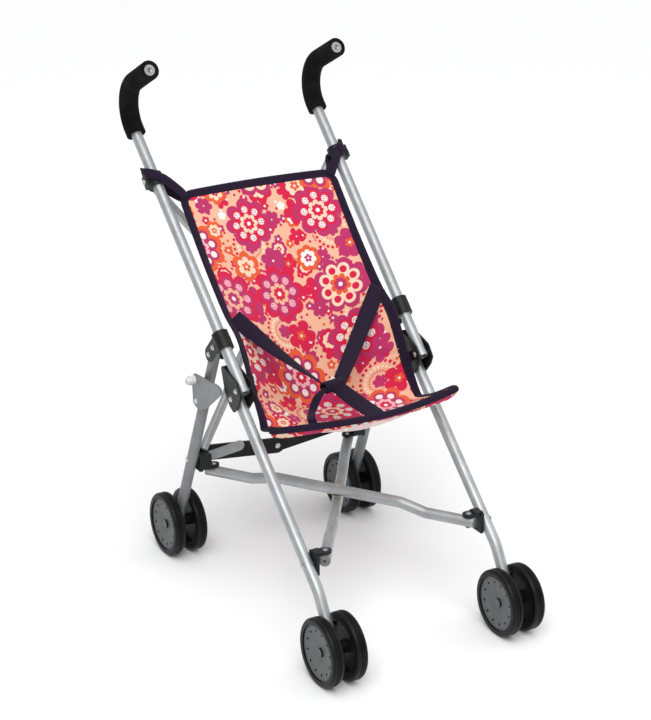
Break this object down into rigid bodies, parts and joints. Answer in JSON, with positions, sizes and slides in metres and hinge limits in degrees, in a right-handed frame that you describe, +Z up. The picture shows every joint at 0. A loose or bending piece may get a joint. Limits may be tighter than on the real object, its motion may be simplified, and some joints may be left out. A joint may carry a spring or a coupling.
{
  "type": "doll stroller",
  "caption": "Folding umbrella-style doll buggy: crossed tube frame with hooked foam handles, twin wheels at each leg, and a slung fabric seat with a harness.",
  "frame": {"origin": "on the ground, at the middle of the overall length and width", "axes": "-Y is the front, the way the doll faces; +Y is towards the handles; +X is the side on the viewer's right when the stroller is seen from the front; +Z is up"},
  "size_m": [0.268, 0.4876, 0.5556],
  "materials": {
    "painted_tube": "semi-gloss silver paint",
    "grey_steel": "matte grey paint",
    "black_plastic": "fine matte moulding",
    "bright_rivet": "plated",
    "axle_steel": "plated",
    "foam": "closed-cell foam",
    "tyre": "matte, ribbed",
    "hub_grey": "satin moulding",
    "grey_plastic": "matte moulding",
    "white_plastic": "smooth",
    "black_steel": "satin black paint",
    "printed_fabric": "printed woven polyester",
    "webbing": "woven tape"
  },
  "bodies": {
    "seat": {"seat_sling": "printed_fabric", "harness": "webbing"},
    "left_frame": {"left_handle_tube": "painted_tube", "left_grip": "foam", "left_upper_clamp": "black_plastic", "left_pivot_clamp": "black_plastic", "left_clamp_rivets": "bright_rivet", "left_tie_strap": "webbing"},
    "left_front_leg": {"left_front_leg": "painted_tube", "left_knee_bracket": "black_plastic", "left_front_leg_rivets": "bright_rivet", "left_front_axle": "axle_steel"},
    "left_rear_leg": {"left_rear_leg": "grey_steel", "left_rear_axle_and_rivets": "axle_steel"},
    "left_rear_brace_bracket": {"left_rear_brace_bracket": "black_plastic", "left_rear_bracket_rivets": "bright_rivet"},
    "left_front_brace_bracket": {"left_front_brace_bracket": "black_plastic"},
    "left_lower_brace": {"left_lower_brace": "painted_tube", "left_brace_fittings": "grey_plastic"},
    "left_back_brace": {"left_back_brace": "painted_tube"},
    "left_lock_bar": {"left_lock_bar": "black_steel", "left_lock_link": "grey_steel"},
    "left_front_inner_wheel": {"left_front_inner_tyre": "tyre", "left_front_inner_hub": "hub_grey"},
    "left_front_outer_wheel": {"left_front_outer_tyre": "tyre", "left_front_outer_hub": "hub_grey"},
    "left_rear_inner_wheel": {"left_rear_inner_tyre": "tyre", "left_rear_inner_hub": "hub_grey"},
    "left_rear_outer_wheel": {"left_rear_outer_tyre": "tyre", "left_rear_outer_hub": "hub_grey"},
    "right_frame": {"right_handle_tube": "painted_tube", "right_grip": "foam", "right_upper_clamp": "black_plastic", "right_pivot_clamp": "black_plastic", "right_clamp_rivets": "bright_rivet", "right_tie_strap": "webbing"},
    "right_front_leg": {"right_front_leg": "painted_tube", "right_knee_bracket": "black_plastic", "right_front_leg_rivets": "bright_rivet", "right_front_axle": "axle_steel"},
    "right_rear_leg": {"right_rear_leg": "grey_steel", "right_rear_axle_and_rivets": "axle_steel"},
    "right_rear_brace_bracket": {"right_rear_brace_bracket": "black_plastic", "right_rear_bracket_rivets": "bright_rivet"},
    "right_front_brace_bracket": {"right_front_brace_bracket": "black_plastic"},
    "right_lower_brace": {"right_lower_brace": "painted_tube", "right_brace_fittings": "grey_plastic"},
    "right_back_brace": {"right_back_brace": "painted_tube"},
    "right_lock_bar": {"right_lock_bar": "black_steel", "right_lock_link": "grey_steel"},
    "right_front_inner_wheel": {"right_front_inner_tyre": "tyre", "right_front_inner_hub": "hub_grey"},
    "right_front_outer_wheel": {"right_front_outer_tyre": "tyre", "right_front_outer_hub": "hub_grey"},
    "right_rear_inner_wheel": {"right_rear_inner_tyre": "tyre", "right_rear_inner_hub": "hub_grey"},
    "right_rear_outer_wheel": {"right_rear_outer_tyre": "tyre", "right_rear_outer_hub": "hub_grey"},
    "catch": {"catch_plate": "grey_steel", "catch_roller_and_rivet": "white_plastic"}
  },
  "joints": [
    {"name": "fold", "type": "slide", "parent": "seat", "child": "left_frame", "axis": [1, 0, 0], "range_m": [0, 0.06014], "deforming": ["seat_sling", "harness"]},
    {"name": "left_front_leg_fold", "type": "hinge", "parent": "left_frame", "child": "left_front_leg", "pos_m": [-0.10906, -0.02088, 0.2492], "axis": [-1, 0, 0], "range_deg": [0, 150.02]},
    {"name": "left_rear_leg_fold", "type": "hinge", "parent": "left_frame", "child": "left_rear_leg", "pos_m": [-0.10988, 0.04018, 0.26989], "axis": [-1, 0, 0], "range_deg": [0, 60.04]},
    {"name": "left_rear_bracket_turn", "type": "hinge", "parent": "left_rear_leg", "child": "left_rear_brace_bracket", "pos_m": [-0.1124, 0.09654, 0.12659], "axis": [-1, 0, 0], "range_deg": [0, 49]},
    {"name": "left_front_bracket_turn", "type": "hinge", "parent": "left_front_leg", "child": "left_front_brace_bracket", "pos_m": [-0.10763, -0.15447, 0.10637], "axis": [1, 0, 0], "range_deg": [0, 41.02]},
    {"name": "left_lower_brace_scissor", "type": "hinge", "parent": "right_front_brace_bracket", "child": "left_lower_brace", "pos_m": [0.08663, -0.15447, 0.10917], "axis": [0, -0.0119, -0.9999], "range_deg": [0, 24.64]},
    {"name": "left_back_brace_scissor", "type": "hinge", "parent": "left_frame", "child": "left_back_brace", "pos_m": [-0.1087, 0.182, 0.41409], "axis": [-0.7374, 0.5885, -0.3316], "range_deg": [0, 32.18]},
    {"name": "left_lock_bar_fold", "type": "hinge", "parent": "left_rear_brace_bracket", "child": "left_lock_bar", "pos_m": [-0.0974, 0.10584, 0.12559], "axis": [0, -1, 0], "range_deg": [0, 74.12]},
    {"name": "left_front_inner_spin", "type": "hinge", "parent": "left_front_leg", "child": "left_front_inner_wheel", "pos_m": [-0.107, -0.20783, 0.036], "axis": [1, 0, 0], "continuous": true},
    {"name": "left_front_outer_spin", "type": "hinge", "parent": "left_front_leg", "child": "left_front_outer_wheel", "pos_m": [-0.107, -0.20783, 0.036], "axis": [1, 0, 0], "continuous": true},
    {"name": "left_rear_inner_spin", "type": "hinge", "parent": "left_rear_leg", "child": "left_rear_inner_wheel", "pos_m": [-0.114, 0.13217, 0.036], "axis": [1, 0, 0], "continuous": true},
    {"name": "left_rear_outer_spin", "type": "hinge", "parent": "left_rear_leg", "child": "left_rear_outer_wheel", "pos_m": [-0.114, 0.13217, 0.036], "axis": [1, 0, 0], "continuous": true},
    {"name": "right_fold", "type": "slide", "parent": "seat", "child": "right_frame", "axis": [-1, 0, 0], "range_m": [0, 0.06014]},
    {"name": "right_front_leg_fold", "type": "hinge", "parent": "right_frame", "child": "right_front_leg", "pos_m": [0.10906, -0.02088, 0.2492], "axis": [-1, 0, 0], "range_deg": [0, 150.02]},
    {"name": "right_rear_leg_fold", "type": "hinge", "parent": "right_frame", "child": "right_rear_leg", "pos_m": [0.10988, 0.04018, 0.26989], "axis": [-1, 0, 0], "range_deg": [0, 60.04]},
    {"name": "right_rear_bracket_turn", "type": "hinge", "parent": "right_rear_leg", "child": "right_rear_brace_bracket", "pos_m": [0.1124, 0.09654, 0.12659], "axis": [-1, 0, 0], "range_deg": [0, 49]},
    {"name": "right_front_bracket_turn", "type": "hinge", "parent": "right_front_leg", "child": "right_front_brace_bracket", "pos_m": [0.10763, -0.15447, 0.10637], "axis": [1, 0, 0], "range_deg": [0, 41.02]},
    {"name": "right_lower_brace_scissor", "type": "hinge", "parent": "left_front_brace_bracket", "child": "right_lower_brace", "pos_m": [-0.08663, -0.15447, 0.10917], "axis": [0, 0.0119, 0.9999], "range_deg": [0, 24.64]},
    {"name": "right_back_brace_scissor", "type": "hinge", "parent": "right_frame", "child": "right_back_brace", "pos_m": [0.1087, 0.182, 0.41409], "axis": [-0.7374, -0.5885, 0.3316], "range_deg": [0, 32.18]},
    {"name": "right_lock_bar_fold", "type": "hinge", "parent": "right_rear_brace_bracket", "child": "right_lock_bar", "pos_m": [0.0974, 0.10584, 0.12559], "axis": [0, 1, 0], "range_deg": [0, 74.12]},
    {"name": "right_front_inner_spin", "type": "hinge", "parent": "right_front_leg", "child": "right_front_inner_wheel", "pos_m": [0.107, -0.20783, 0.036], "axis": [1, 0, 0], "continuous": true},
    {"name": "right_front_outer_spin", "type": "hinge", "parent": "right_front_leg", "child": "right_front_outer_wheel", "pos_m": [0.107, -0.20783, 0.036], "axis": [1, 0, 0], "continuous": true},
    {"name": "right_rear_inner_spin", "type": "hinge", "parent": "right_rear_leg", "child": "right_rear_inner_wheel", "pos_m": [0.114, 0.13217, 0.036], "axis": [1, 0, 0], "continuous": true},
    {"name": "right_rear_outer_spin", "type": "hinge", "parent": "right_rear_leg", "child": "right_rear_outer_wheel", "pos_m": [0.114, 0.13217, 0.036], "axis": [1, 0, 0], "continuous": true},
    {"name": "catch_turn", "type": "hinge", "parent": "left_rear_leg", "child": "catch", "pos_m": [-0.11096, 0.06433, 0.20848], "axis": [1, 0, 0], "range_deg": [0, 22]}
  ],
  "couplings": [
    {"joint": "left_front_leg_fold", "follows": "fold", "rad_per_m": 43.533},
    {"joint": "left_rear_leg_fold", "follows": "fold", "rad_per_m": 17.42},
    {"joint": "left_rear_bracket_turn", "follows": "fold", "rad_per_m": 14.215},
    {"joint": "left_front_bracket_turn", "follows": "fold", "rad_per_m": 11.898},
    {"joint": "left_lower_brace_scissor", "follows": "fold", "rad_per_m": 7.1446},
    {"joint": "left_back_brace_scissor", "follows": "fold", "rad_per_m": 9.3322},
    {"joint": "left_lock_bar_fold", "follows": "fold", "rad_per_m": 21.505},
    {"joint": "right_fold", "follows": "fold", "ratio": 1},
    {"joint": "right_front_leg_fold", "follows": "fold", "rad_per_m": 43.533},
    {"joint": "right_rear_leg_fold", "follows": "fold", "rad_per_m": 17.42},
    {"joint": "right_rear_bracket_turn", "follows": "fold", "rad_per_m": 14.215},
    {"joint": "right_front_bracket_turn", "follows": "fold", "rad_per_m": 11.898},
    {"joint": "right_lower_brace_scissor", "follows": "fold", "rad_per_m": 7.1446},
    {"joint": "right_back_brace_scissor", "follows": "fold", "rad_per_m": 9.3322},
    {"joint": "right_lock_bar_fold", "follows": "fold", "rad_per_m": 21.505}
  ]
}
